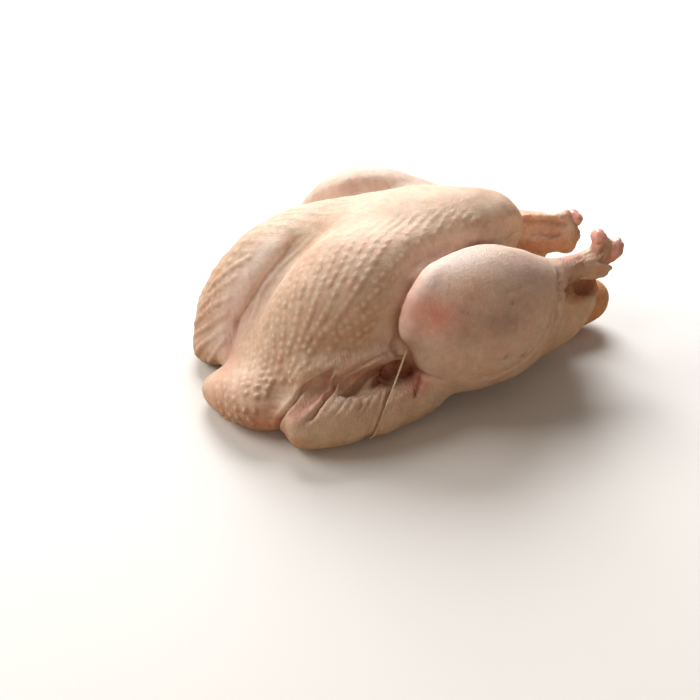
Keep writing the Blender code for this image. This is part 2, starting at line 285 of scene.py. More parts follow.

# The recess between the wing and the thigh, painted dark with flesh and painted shade.
RECESS = ((-42, -73, 33), (-36, -72, 35), (-29, -71, 36), (-21, -73, 34))
# The line under the near shank that the painted shadow there keeps close to.
SHANK_SHADOW_LINE = ((84, -54, 60), (96, -42, 52), (106, -36, 50))
# Where the near wing's skin is crumpled most.
WRINKLED_WING = ((-60, -80, 30), (-48, -88, 26), (-36, -85, 28))

# Tints in soft spots: strength and radii, then the centre of each spot.
SPOTS = {
    # Painted shadow under the near shank.
    "under shank": (
        (1.3, (8, 8, 6), (79, -57, 63), (86, -51, 60), (91, -48, 55), (98, -39, 52), (104, -37, 51)),
    ),
    "blush": (
        (0.95, (19, 20, 13), (-14, -84, 77)),
        (0.45, (12, 12, 8), (6, -84, 86)),
        (0.85, (12, 14, 11), (-108, -68, 10)),
        (0.3, (14, 14, 18), (-116, 24, 34)),
        (0.8, (8, 8, 7), (-21, -80, 31)),
        (0.9, (6, 7, 7), (117, 19, 68)),
    ),
    # Bare flesh with painted shade in the recess between wing and thigh, then small nicks of bare flesh.
    "bare": (
        (1.15, (5.5, 5.5, 5), (-35, -65, 30), (-29, -64, 31), (-25, -68, 31), (-39, -68, 35), (-27, -64, 36)),
        (0.75, (1.5, 1.5, 1.2), (31, -87, 79), (26, -93, 48), (38, -90, 45)),
    ),
    "dusky": (
        (0.8, (18, 18, 9), (22, -91, 71)),
        (0.75, (9, 12, 10), (-24, -81, 57)),
        (0.5, (15, 14, 10), (46, -70, 88)),
        (0.45, (12, 14, 6), (2, -91, 66)),
        (0.6, (26, 20, 16), (0, 92, 60)),
        (0.5, (11, 10, 8), (-91, -87, 27)),
    ),
    "fatty": ((0.9, (6, 5, 3), (104, 23, 70)), (0.7, (8, 8, 7), (112, 12, 68))),
    # Painted light on the top and the near side of the near thigh.
    "milky": ((0.9, (30, 14, 8), (4, -66, 98)), (1.0, (15, 9, 10), (-14, -73, 88))),
}
# Tints in soft strokes: strength and width, then the points that the stroke runs through.
STROKES = {
    # Painted shade along the thigh's fold and under the edge of the thigh.
    "hollow": ((0.6, 3.2, THIGH_FOLD), (0.9, 5.0, THIGH_EDGE)),
    "blush": (
        (0.35, 9, ((-88, 12, 62), (-100, 8, 46), (-116, 0, 22))),
        (0.5, 9, ((-118, -22, 22), (-124, -40, 18), (-128, -46, 14))),
        (0.8, 5.5, ((-72, -74, 36), (-80, -78, 32), (-92, -82, 27))),
        (0.55, 3.5, ((-38, -72, 45), (-48, -70, 39), (-60, -74, 36))),
        (0.6, 6, ((78, -43, 76), (90, -42, 75), (100, -43, 75))),
    ),
    # Flesh in the recess and the wing's creases with painted shade there, and a painted shade line under the
    # thigh's edge.
    "bare": (
        (1.0, 5.2, RECESS),
        (0.9, 1.1, ((-18, -77, 34), (-20, -79, 31), (-22, -82, 29), (-25, -86, 27))),
        (0.7, 1.3, ((-31, -71, 43), (-39, -71, 38), (-50, -71, 34), (-60, -77, 30))),
        (0.6, 1.2, ((-67, -73, 40), (-76, -83, 34), (-85, -90, 29))),
        (0.35, 1.6, ((-66, -72, 46), (-77, -70, 38), (-93, -74, 28))),
        (0.35, 2.4, ((-92, 10, 56), (-104, 8, 38), (-114, 2, 24))),
        (0.6, 2.2, THIGH_EDGE),
    ),
    # A darker dusky band along the near side of the near shank.
    "dusky": ((0.42, 8, ((80, -49, 74), (92, -47, 74), (102, -45, 74))),),
    "fatty": (
        (1.0, 1.3, ((-66, -73, 47), (-69, -73, 41), (-74, -78, 34), (-85, -88, 31))),
        (0.6, 2.5, ((80, 18, 61), (96, 13, 61), (108, 10, 61))),
        (0.6, 2.0, ((98, -43, 65), (102, -43, 61), (107, -42, 59), (113, -41, 62))),
    ),
    # Painted light on the far side of the cleft at the neck.
    "milky": ((1.0, 14, ((-84, 12, 70), (-94, 10, 60), (-103, 10, 46), (-112, 12, 30))),),
    # The web of the near wing, painted with shade and a dusky tone.
    "webbed": (
        (1.0, 6, ((-70, -73, 37), (-80, -77, 32), (-92, -82, 27))),
        (1.0, 4.5, ((-36, -71, 44), (-48, -70, 39), (-60, -75, 37), (-70, -78, 35))),
    ),
}

# Knobs of cartilage at the cut hocks: centre, radii, and how far the top leans towards the tail, in radians.
KNOBS = (
    ((105.8, -39, 84.3), (5.0, 5.6, 4.6), 0.5),
    ((115.2, -41, 75.0), (5.0, 6.4, 8.4), 0.6),
    ((119.0, 19.0, 66.5), (5.0, 7.0, 5.5), 0.2),
    ((119.5, 19.0, 55.5), (4.5, 7.5, 5.5), -0.3),
)

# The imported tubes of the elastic, and the axis along which the first end of each is lowest.
ELASTIC_TUBES = {"elastic_near": 2, "elastic_far": 2, "elastic_curl": 0}
TUBE_SIDES = 8

# The lights take their power from the setting of the same name: place and size in metres, then colour.
LIGHTS = {
    "key": ((0.22, 1.00, 0.88), 0.9, (1.0, 0.985, 0.97)),
    "side": ((-0.96, 0.42, 0.84), 0.8, (1.0, 0.95, 0.89)),
    "fill": ((-0.30, -1.2, 0.34), 0.9, (1.0, 0.80, 0.60)),
}
LIT_PLACE = (0, 0, 0.05)
# The camera's place in metres, and its azimuth and elevation in degrees.
CAMERA_PLACE = (-0.21835, -0.6033, 0.420)
CAMERA_ANGLES = (-16.74, 33.29)


# ---- settings ----


def length_setting(name, description, default):
    return FloatProperty(name=name, description=description, default=default, unit="LENGTH")


def colour_setting(name, description, default):
    return FloatVectorProperty(name=name, description=description, default=default, subtype="COLOR")


def power_setting(name, description, default):
    return FloatProperty(name=name, description=description, default=default, min=0, subtype="POWER")


class BirdSizes(bpy.types.PropertyGroup):
    """Sizes of the skin and its relief."""

    grid: length_setting("Skin mesh", "Spacing of the skin's mesh where it is smooth", 0.0021)
    bead_height: length_setting("Follicle height", "How far a follicle of the breast stands up", 0.00115)
    bead_spacing: length_setting("Follicle spacing", "Distance between follicles along the breast", 0.0049)
    sag: length_setting("Unevenness", "Height of the broad swells of the skin", 0.0006)
    strand: length_setting("Elastic strand", "Radius of one strand of the elastic", 0.00036)
    seed: IntProperty(name="Seed", description="Start of the random draws", default=7, min=0)


class BirdColours(bpy.types.PropertyGroup):
    """Colours of the skin, flesh and elastic. The eight tints after the plain skin are painted on the skin as
    shares, some of them as painted light and shade.
    """

    pale: colour_setting("Skin", "Plain breast skin", (0.80, 0.595, 0.44))
    # Milky skin: the thighs' own pale tone, and painted light on the top of the near thigh and in the neck
    # cleft's far side.
    milky: colour_setting("Milky skin", "Skin of the thighs and of the cleft at the neck", (0.91, 0.79, 0.73))
    # Amber: the own colour of the tail and hocks, also used for the painted shadow under the near shank.
    amber: colour_setting("Amber skin", "Skin of the tail and hocks", (0.78, 0.39, 0.18))
    fatty: colour_setting("Fat", "Skin over pale yellow fat", (0.92, 0.79, 0.64))
    blush: colour_setting("Blush", "Skin with flesh close under it", (0.78, 0.35, 0.27))
    dusky: colour_setting("Dusky skin", "Skin over the dark thigh meat", (0.50, 0.345, 0.295))
    # Flesh: bare flesh in the folds, and painted shade in the recess, along the thigh's edge and under the
    # near shank.
    bare: colour_setting("Flesh", "Bare flesh in the folds", (0.24, 0.035, 0.02))
    # Painted highlight: the tops of the follicles painted paler.
    follicle: colour_setting("Follicles", "Tops of the follicles", (0.88, 0.70, 0.55))
    # Painted shade: the tint laid low in the skin's folds, round the follicles and under the near shank.
    hollow: colour_setting("Hollows", "Skin low in its folds", (0.46, 0.22, 0.13))
    cartilage: colour_setting("Cartilage", "Ends of the cut hocks", (0.85, 0.44, 0.37))
    gristle: colour_setting("Gristle", "Pale flecks of the cartilage", (0.78, 0.52, 0.45))
    elastic: colour_setting("Elastic", "The elastic", (0.72, 0.55, 0.34))
    fibre: colour_setting("Fibres", "Light fibres of the elastic", (0.86, 0.74, 0.56))
    soil: colour_setting("Soiled elastic", "Stains on the elastic", (0.58, 0.34, 0.20))


class StageSizes(bpy.types.PropertyGroup):
    """Camera and light."""

    lens: FloatProperty(
        name="Lens", description="Focal length", default=61.87, min=10, subtype="DISTANCE_CAMERA"
    )
    key: power_setting("Key light", "Power of the large light above and behind", 28.0)
    side: power_setting("Side light", "Power of the panel past the neck", 10.5)
    fill: power_setting("Fill light", "Power of the warm light in front", 2.7)
    sky: FloatProperty(
        name="Surroundings", description="Strength of the light from all round", default=0.16, min=0
    )


# ---- places and shapes ----


def placed(points):
    """Places given in the nominal box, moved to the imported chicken's own box."""
    share = (np.asarray(points, float) - GIVEN_LOW) / (GIVEN_HIGH - GIVEN_LOW)
    return BIRD_LOW + share * (BIRD_HIGH - BIRD_LOW)


def spline(values, share):
    """Catmull-Rom through the rows of values, read at shares from 0 to 1."""
    rows = np.asarray(values, float)
    rows = np.vstack([2 * rows[0] - rows[1], rows, 2 * rows[-1] - rows[-2]])
    place = np.asarray(share) * (len(rows) - 3)
    first = np.minimum(place.astype(int), len(rows) - 4)
    t = (place - first)[:, None]
    a, b, c, d = (rows[first + k] for k in range(4))
    return b + 0.5 * t * (c - a + t * (2 * a - 5 * b + 4 * c - d + t * (3 * (b - c) + d - a)))


def smooth_step(low, high, value):
    t = np.clip((value - low) / (high - low), 0, 1)
    return t * t * (3 - 2 * t)


def unit_rows(vectors):
    return vectors / np.linalg.norm(vectors, axis=1, keepdims=True)


def side_directions(ahead, hint):
    """Two directions for each row that are square to the way ahead and to each other."""
    across = unit_rows(np.cross(ahead, hint))
    return across, np.cross(across, ahead)


def distance_to(points, line, reach=16.0):
    """Each point's distance to a line, and the share of the line's length where it is nearest.

    Points beyond the reach keep a large distance.
    """
    inside = (points > line.min(axis=0) - reach) & (points < line.max(axis=0) + reach)
    close = np.flatnonzero(np.all(inside, axis=1))
    away = np.full(len(points), 1e3)
    share = np.zeros(len(points))
    batch = 20000
    for start in range(0, len(close), batch):
        rows = close[start : start + batch]
        gaps = np.linalg.norm(points[rows][:, None] - line[None], axis=2)
        nearest = gaps.argmin(axis=1)
        away[rows] = gaps[np.arange(len(rows)), nearest]
        share[rows] = nearest / (len(line) - 1)
    return away, share


def route_line(route):
    return spline(placed(route), np.linspace(0, 1, STEPS_PER_PLACE * len(route)))


def near_route(points, route, width):
    """1 on a smooth line through the route's points, falling to 0 a few widths away."""
    return np.exp(-((distance_to(points, route_line(route))[0] / width) ** 2))


def near_spot(points, centre, radii):
    """1 at the centre, falling to 0 past the radii."""
    offset = (points - placed(centre)) / np.asarray(radii, float)
    return np.exp(-(offset**2).sum(axis=1))


def on_limb(points, stations, inner=1.08, outer=1.32):
    """1 within so many of the limb's own radii of its middle, falling to 0 at the outer number of radii."""
    rows = spline(stations, np.linspace(0, 1, LINE_STEPS))
    nearest = np.full(len(points), 1e3)
    for middle, (half_width, half_height) in zip(placed(rows[:, :3]), rows[:, 3:]):
        offset = (points - middle) / (10.0, half_width, half_height)
        nearest = np.minimum(nearest, np.linalg.norm(offset, axis=1))
    return smooth_step(outer, inner, nearest)


def swells(points, size, offset=0.0):
    """Smooth noise between about -1 and 1, with features of the given size."""
    scaled = points / size + offset
    return np.array([noise.noise(Vector(row)) for row in scaled]) * 1.6


# ---- meshes ----


def read_points(mesh):
    points = np.empty(len(mesh.vertices) * 3)
    mesh.vertices.foreach_get("co", points)
    return points.reshape(-1, 3) / MM


def read_normals(mesh):
    normals = np.empty(len(mesh.vertices) * 3)
    mesh.vertex_normals.foreach_get("vector", normals)
    return normals.reshape(-1, 3)


def write_points(mesh, points):
    mesh.vertices.foreach_set("co", (points * MM).ravel())
    mesh.update()


def select_only(*objects):
    bpy.ops.object.select_all(action="DESELECT")
    for obj in objects:
        obj.select_set(True)
    bpy.context.view_layer.objects.active = objects[0]


@contextmanager
def editing(obj):
    """Edit mode with the whole of the object's mesh selected."""
    select_only(obj)
    bpy.ops.object.mode_set(mode="EDIT")
    bpy.ops.mesh.select_all(action="SELECT")
    yield
    bpy.ops.object.mode_set(mode="OBJECT")


def use_modifier(obj, kind, **settings):
    """Adds a modifier, sets it and applies it."""
    select_only(obj)
    bpy.ops.object.modifier_add(type=kind)
    modifier = obj.modifiers[-1]
    for name, value in settings.items():
        setattr(modifier, name, value)
    bpy.ops.object.modifier_apply(modifier=modifier.name)


def new_ball(segments, rings):
    """A ball of radius 1 to be shaped, and its points."""
    bpy.ops.object.select_all(action="DESELECT")
    bpy.ops.mesh.primitive_uv_sphere_add(segments=segments, ring_count=rings, radius=1.0)
    ball = bpy.context.object
    return ball, read_points(ball.data) * MM


def merged_copy(node, name):
    """A copy of a CAD node's mesh with its loose triangles merged, as an object of its own."""
    obj = bpy.data.objects.new(name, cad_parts[node].data.copy())
    bpy.context.scene.collection.objects.link(obj)
    obj.data.materials.clear()
    with editing(obj):
        bpy.ops.mesh.remove_doubles(threshold=1e-6)
        bpy.ops.mesh.customdata_custom_splitnormals_clear()
    return obj


def rolled_fold(route, radius):
    """A soft roll of skin along the route, thinner towards its ends."""
    step = 0.01
    rounded = 0.3
    fold, unit = new_ball(segments=14, rings=36)
    route = placed(route)
    share = (1 + np.clip(unit[:, 2], -1, 1)) / 2
    ahead = spline(route, np.minimum(share + step, 1)) - spline(route, np.maximum(share - step, 0))
    across, upward = side_directions(unit_rows(ahead), (0.3, 0.2, 0.93))
    ring = np.maximum(np.hypot(unit[:, 0], unit[:, 1]), 1e-9)
    from_end = np.minimum(share, 1 - share).clip(0, rounded) / rounded
    size = radius * np.sqrt(1 - (1 - from_end) ** 2)
    sideways = (unit[:, 0] / ring * size)[:, None] * across
    sideways += (unit[:, 1] / ring * size)[:, None] * upward
    write_points(fold.data, spline(route, share) + sideways)
    with editing(fold):
        bpy.ops.mesh.normals_make_consistent(inside=False)
    return fold


def on_surface(tree, places):
    """The nearest places on the skin to the given ones, in millimetres."""
    return np.array([tree.find_nearest(Vector(place) * MM)[0] for place in places]) / MM


def press_creases(skin, creases):
    """Presses each crease in along the skin's normals and raises soft lips beside it."""
    lip_widths_away = 2.1
    mesh = skin.data
    tree = BVHTree.FromObject(skin, bpy.context.evaluated_depsgraph_get())
    points = read_points(mesh)
    normals = read_normals(mesh)
    for width, depth, lip, route in creases:
        away, share = distance_to(points, on_surface(tree, route_line(route)), reach=6 * width)
        ends = smooth_step(-0.02, 0.22, share) * smooth_step(1.02, 0.78, share)
        groove = np.exp(-((away / width) ** 2))
        lips = np.exp(-(((away - lip_widths_away * width) / width) ** 2))
        points += (ends * (lip * lips - depth * groove))[:, None] * normals
    write_points(mesh, points)


def refine(obj, wanted):
    """Divides the faces whose points are wanted, and eases them."""
    mesh = obj.data
    select_only(obj)
    mesh.polygons.foreach_set("select", [all(wanted[i] for i in face.vertices) for face in mesh.polygons])
    bpy.ops.object.mode_set(mode="EDIT")
    bpy.ops.mesh.select_mode(type="FACE")
    bpy.ops.mesh.subdivide(number_cuts=1, smoothness=0)
    bpy.ops.mesh.vertices_smooth(factor=0.5, repeat=3)
    bpy.ops.object.mode_set(mode="OBJECT")


# ---- relief of the skin ----


class Follicles:
    """Follicles gathered for the whole bird: place, radius, height, and the way that each is drawn out."""

    def __init__(self, skin, draws):
        self.tree = BVHTree.FromObject(skin, bpy.context.evaluated_depsgraph_get())
        self.draws = draws
        self.rows = []

    def add(self, place, radius, height, along=(0, 0, 0), stretch=1.0):
        spread = self.draws.uniform(0.85, 1.15)
        lift = self.draws.uniform(0.6, 1.3)
        self.rows.append((*place, radius * spread, height * lift, *along, stretch))

    def on_skin(self, place):
        found, normal, _, _ = self.tree.find_nearest(Vector(place) * MM)
        return np.array(found) / MM, np.array(normal)

    def strings(self, lines, between, least, pitch, shape, side=1):
        """Follicles along the given rows and more rows between them.

        A row has follicles only where its neighbours are far enough apart to make room for it. None stand on
        the keel of the breast, except near the neck.
        """
        lines = np.array(lines, float) * (1, side, 1)
        count = (len(lines) - 1) * between + 1
        ends = [spline(placed(lines[:, k]), np.linspace(0, 1, count)) for k in range(3)]
        ahead = 0.02
        shortest = 0.05
        for row in range(count):
            other = row + 1 if row + 1 < count else row - 1
            stride = next(step for step in (8, 4, 2, 1) if row % step == 0)
            share = self.draws.uniform(0.0, 0.03)
            while share < 1:
                span = [share, min(share + ahead, 1)]
                here, there = (spline([end[i] for end in ends], span) for i in (row, other))
                radius, height, stretch = shape(share)
                height *= max(smooth_step(9, 17, abs(here[1][1])), smooth_step(-60, -85, here[1][0]))
                speed = max(np.linalg.norm(here[1] - here[0]) / ahead, 1.0)
                along = (here[1] - here[0]) / (ahead * speed)
                gap = there[0] - here[0]
                gap = np.linalg.norm(gap - along * gap.dot(along))
                room = 0.84 + 0.16 * smooth_step(0.1, 0.4, share) - 0.3 * smooth_step(0.5, 0.7, share)
                if stride * gap >= least * room and height > shortest:
                    place, normal = self.on_skin(here[0] + self.draws.normal(0, 0.25, 3))
                    along = along - normal * along.dot(normal)
                    self.add(place, radius, height, along / np.linalg.norm(along), stretch)
                share += pitch * self.draws.uniform(0.88, 1.12) / speed

    def scatter(self, points, weights, spacing, radius, height):
        """Follicles at an even distance from each other wherever the weight allows."""
        cells = {}
        for index in self.draws.permutation(np.flatnonzero(weights > 0.25)):
            point = points[index]
            key = tuple((point // spacing).astype(int))
            next_cells = product(*((k - 1, k, k + 1) for k in key))
            around = [other for cell in next_cells for other in cells.get(cell, ())]
            if any(np.sum((point - other) ** 2) < spacing**2 for other in around):
                continue
            cells.setdefault(key, []).append(point)
            self.add(point, radius, height * weights[index])

    def heights(self, points):
        """The follicles' height at each point, and how near it is to a follicle's top and pit."""
        rows = np.array(self.rows)
        tree = KDTree(len(rows))
        for index, row in enumerate(rows):
            tree.insert(row[:3], index)
        tree.balance()
        found = np.array([[hit[1] for hit in tree.find_n(point, 3)] for point in points])
        heights, tops, rings = np.zeros((3, len(points)))
        for own in rows[found.T]:
            radius, height, along, stretch = own[:, 3], own[:, 4], own[:, 5:8], own[:, 8]
            offset = points - own[:, :3]
            forth = (offset * along).sum(axis=1)
            away = np.sqrt(np.maximum((offset**2).sum(axis=1) - forth**2 * (1 - 1 / stretch**2), 0))
            top = np.exp(-((away / radius) ** 2))
            heights = np.maximum(heights, height * top)
            tops = np.maximum(tops, top * smooth_step(0.03, 0.3, height))
            rings = np.maximum(rings, top**0.35 * smooth_step(0.2, 1.2, height))
        return heights, tops, rings * (1 - tops) ** 2


def fan_shape(height):
    """Gives a function for the radius, height and stretch of a follicle by its share of the row."""

    def shape(share):
        soft = 1.5 - 0.85 * smooth_step(0.22, 0.5, share) - 0.2 * smooth_step(0.6, 0.8, share)
        radius = 1.5 + 0.25 * smooth_step(0.1, 0.5, share) - 0.45 * smooth_step(0.5, 0.7, share)
        stretch = 1.05 + 0.7 * smooth_step(0.4, 0.7, share)
        return radius, height * soft, stretch

    return shape


def wrinkle_rows(tree, points, start_line, end_line, count, width, depth, draws):
    """Fine creases from one line to another, each a little bowed and uneven."""
    moved = np.zeros(len(points))
    share = np.linspace(0, 1, LINE_STEPS)[:, None]
    starts = spline(placed(start_line), np.linspace(0, 1, count))
    ends = spline(placed(end_line), np.linspace(0, 1, count))
    for start, end in zip(starts, ends):
        start = start + draws.normal(0, 0.6, 3)
        end = end + draws.normal(0, 0.9, 3)
        bow = np.sin(share * math.pi) * draws.normal(0, 1.0, 3)
        line = on_surface(tree, start * (1 - share) + end * share + bow)
        away, along = distance_to(points, line, reach=4 * width)
        fade = (1 - 0.5 * draws.random()) * np.sin(np.clip(along, 0.06, 0.94) * math.pi) ** 0.5
        moved -= depth * fade * np.exp(-((away / width) ** 2))
    return moved


def ease_valley(skin):
    """Lets the side of the breast run down smoothly into the valley in front of each thigh."""
    points = read_points(skin.data)
    for thigh, route in ((THIGH, VALLEY), (FAR_THIGH, FAR_VALLEY)):
        off_thigh = 1 - on_limb(points, thigh, inner=1.0, outer=1.14)
        share = near_route(points, route, width=13) * off_thigh * (points[:, 2] > 44)
        group = skin.vertex_groups.new(name="valley")
        for index in np.flatnonzero(share > 0.1):
            group.add([int(index)], float(min(1.6 * share[index], 1)), "REPLACE")
        use_modifier(skin, "SMOOTH", factor=0.5, iterations=70, vertex_group="valley")
        skin.vertex_groups.clear()


def shorten_far_hock(skin):
    """Draws the end of the far shank in, and slopes it off towards the back."""
    drawn_in = 6.5
    points = read_points(skin.data)
    shank = on_limb(points, FAR_SHANK, inner=1.25, outer=1.7)
    points[:, 0] -= drawn_in * (shank * smooth_step(110, 130, points[:, 0]) * (points[:, 2] > 36))
    write_points(skin.data, points)


def even_out(skin, grid, easing):
    """Fuses what the skin is made of into one even mesh, and eases it."""
    use_modifier(skin, "REMESH", mode="VOXEL", voxel_size=grid, adaptivity=0.0)
    use_modifier(skin, "SMOOTH", factor=0.5, iterations=easing)


def build_skin_form(sizes):
    """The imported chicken, rounded, with its rolled folds fused to it and its creases pressed in."""
    skin = merged_copy("chicken", "chicken_skin")
    use_modifier(skin, "SUBSURF", levels=1, render_levels=1)
    folds = [rolled_fold(route, radius) for radius, route in ROLLED_FOLDS]
    select_only(skin, *folds)
    bpy.ops.object.join()
    even_out(skin, sizes.grid, easing=7)
    shorten_far_hock(skin)
    press_creases(skin, BROAD_CREASES)
    ease_valley(skin)
    even_out(skin, sizes.grid, easing=3)
    refine(skin, finely_worked(skin.data))
    press_creases(skin, SHARP_CREASES)
    return skin


def finely_worked(mesh):
    """Whether each point lies where follicles and sharp creases need a finer mesh."""
    points = read_points(mesh)
    thigh = zones_of(points)["thigh"]
    x, y, z = points.T
    breast = (thigh < 0.6) & (z > 6) & (np.abs(y) > 3) & (x < 70)
    neck = (x < -62) & (y < 50) & (z > 5)
    shank = (x > 62) & (y < -20) & (z > 28) & (thigh < 0.9)
    return breast | neck | shank


def zones_of(points):
    """Shares from 0 to 1 of the bird's regions at each point."""
    x, y, z = points.T
    mirrored = points * (1, -1, 1)
    thigh = np.maximum(on_limb(points, THIGH), on_limb(points, FAR_THIGH))
    shank = np.maximum(on_limb(points, SHANK, 1.2, 1.5), on_limb(points, FAR_SHANK, 1.2, 1.5))
    forearm = np.maximum(on_limb(points, FOREARM), on_limb(mirrored, FOREARM))
    upper_arm = np.maximum(on_limb(points, UPPER_ARM), on_limb(mirrored, UPPER_ARM))
    wing = np.maximum(forearm, 0.8 * upper_arm) * smooth_step(62, 70, np.abs(y))
    return {
        "thigh": thigh,
        "shank": shank * smooth_step(70, 82, x),
        "wing": wing * smooth_step(-101, -96, x),
        "tail": on_limb(points, TAIL, 1.1, 1.5) * smooth_step(96, 108, x),
        "under": smooth_step(6, 2, z),
    }


def sculpt_relief(skin, sizes):
    """Swells, wrinkles and follicles. Gives each point's share of a follicle's top and of its pit, where
    painted highlight and painted shade are laid.
    """
    draws = np.random.default_rng(sizes.seed)
    mesh = skin.data
    points = read_points(mesh)
    normals = read_normals(mesh)
    zones = zones_of(points)
    plain = (1 - zones["thigh"]) * (1 - zones["shank"]) * (1 - zones["tail"]) * (1 - zones["under"])
    breast = plain * (1 - zones["wing"])

    wrinkled = np.maximum(near_route(points, WRINKLED_WING, 12) * zones["wing"], 0.6 * zones["shank"])
    move = sizes.sag / MM * (swells(points, 23) + 0.35 * swells(points, 11, 5.0))
    move += wrinkled * 0.35 * swells(points * (0.9, 0.9, 2.0), 3.4, 11.0)

    follicles = Follicles(skin, draws)
    height = sizes.bead_height / MM
    pitch = sizes.bead_spacing / MM
    for side, share in ((1, 1.0), (-1, 0.7)):
        shape = fan_shape(height * share)
        follicles.strings(FAN_ROWS, between=8, least=pitch, pitch=pitch, shape=shape, side=side)
    gathered = (1.8, 1.15 * height, 1.5)
    follicles.strings(GATHERED_ROWS, between=1, least=1.0, pitch=3.4, shape=lambda share: gathered)
    low = smooth_step(20, 8, points[:, 2]) * 0.5 * plain
    rest = np.maximum(zones["thigh"] * 0.35, 0.3 * zones["tail"]) + low
    follicles.scatter(points, rest.clip(0, 1), spacing=4.8, radius=0.9, height=0.4 * height)
    heights, tops, pit_shade = follicles.heights(points)
    move += heights * np.maximum(breast, 0.2)

    for wrinkles in WRINKLES:
        move += wrinkle_rows(follicles.tree, points, *wrinkles, draws)
    points += move[:, None] * normals
    points[:, 2] = np.maximum(points[:, 2], BIRD_LOW[2])
    write_points(mesh, points)
    return tops * np.maximum(breast, 0.3), pit_shade * breast


# ---- materials ----


class Nodes:
    """Adds nodes to one tree and joins them."""

    def __init__(self, tree):
        self.tree = tree

    def set(self, node, inputs):
        """Joins outputs of other nodes to a node's inputs, and sets the inputs that are given as values."""
        for name, value in inputs.items():
            socket = node.inputs[name]
            if isinstance(value, bpy.types.NodeSocket):
                self.tree.links.new(value, socket)
            elif socket.type == "RGBA":
                socket.default_value = (*value, 1)
            else:
                socket.default_value = value

    def add(self, kind, inputs=None, **settings):
        node = self.tree.nodes.new(kind)
        for name, value in settings.items():
            setattr(node, name, value)
        self.set(node, inputs or {})
        return node

    def noise(self, where, scale, detail=2.0, rough=0.5, **inputs):
        settings = {"Vector": where, "Scale": scale, "Detail": detail, "Roughness": rough, **inputs}
        return self.add("ShaderNodeTexNoise", settings).outputs["Fac"]

    def remap(self, value, low, high, to_low=0.0, to_high=1.0):
        settings = {"Value": value, "From Min": low, "From Max": high, "To Min": to_low, "To Max": to_high}
        return self.add("ShaderNodeMapRange", settings, clamp=True).outputs["Result"]

    def maths(self, operation, *values):
        return self.add("ShaderNodeMath", dict(enumerate(values)), operation=operation).outputs[0]

    def blend(self, factor, first, second, kind="MIX"):
        """A mix of two colours, whose sockets come after the node's sockets for numbers and vectors."""
        node = self.add("ShaderNodeMix", data_type="RGBA", blend_type=kind)
        self.set(node, {0: factor, 6: first, 7: second})
        return node.outputs[2]

    def bump(self, height, strength, distance):
        settings = {"Strength": strength, "Distance": distance, "Height": height}
        return self.add("ShaderNodeBump", settings).outputs["Normal"]

    def share(self, name):
        """The share that a point attribute of this name holds."""
        return self.add("ShaderNodeAttribute", attribute_name=name).outputs["Fac"]


def new_material(name):
    material = bpy.data.materials.new(name)
    material.use_nodes = True
    return material, Nodes(material.node_tree), material.node_tree.nodes["Principled BSDF"]


def damp_surface_group():
    """Mottling and fine relief of damp skin and cartilage."""
    group = bpy.data.node_groups.get("damp surface")
    if group:
        return group
    group = bpy.data.node_groups.new("damp surface", "ShaderNodeTree")
    group.interface.new_socket("Vector", in_out="INPUT", socket_type="NodeSocketVector")
    grain = group.interface.new_socket("Grain", in_out="INPUT", socket_type="NodeSocketFloat")
    grain.default_value = 1.0
    for name in ("Patches", "Flecks", "Relief"):
        group.interface.new_socket(name, in_out="OUTPUT", socket_type="NodeSocketFloat")
    nodes = Nodes(group)
    entry = nodes.add("NodeGroupInput")
    where = entry.outputs["Vector"]
    warped = nodes.noise(where, 700.0, 3.0, 0.6, Distortion=0.6)
    cells = nodes.add("ShaderNodeTexVoronoi", {"Vector": where, "Scale": 820.0}, feature="DISTANCE_TO_EDGE")
    lines = nodes.remap(cells.outputs["Distance"], 0.0, 0.22)
    relief = nodes.maths("MULTIPLY_ADD", lines, 0.35, warped)
    results = {
        "Patches": nodes.noise(where, 42.0, 3.0, 0.55),
        "Flecks": nodes.noise(where, 330.0, 4.0, 0.65),
        "Relief": nodes.maths("MULTIPLY", relief, entry.outputs["Grain"]),
    }
    nodes.add("NodeGroupOutput", results)
    return group


def damp_surface(nodes, grain=1.0):
    """The place on the object, and the damp surface read there."""
    where = nodes.add("ShaderNodeTexCoord").outputs["Object"]
    surface = nodes.add("ShaderNodeGroup", node_tree=damp_surface_group())
    nodes.set(surface, {"Vector": where, "Grain": grain})
    return where, surface.outputs


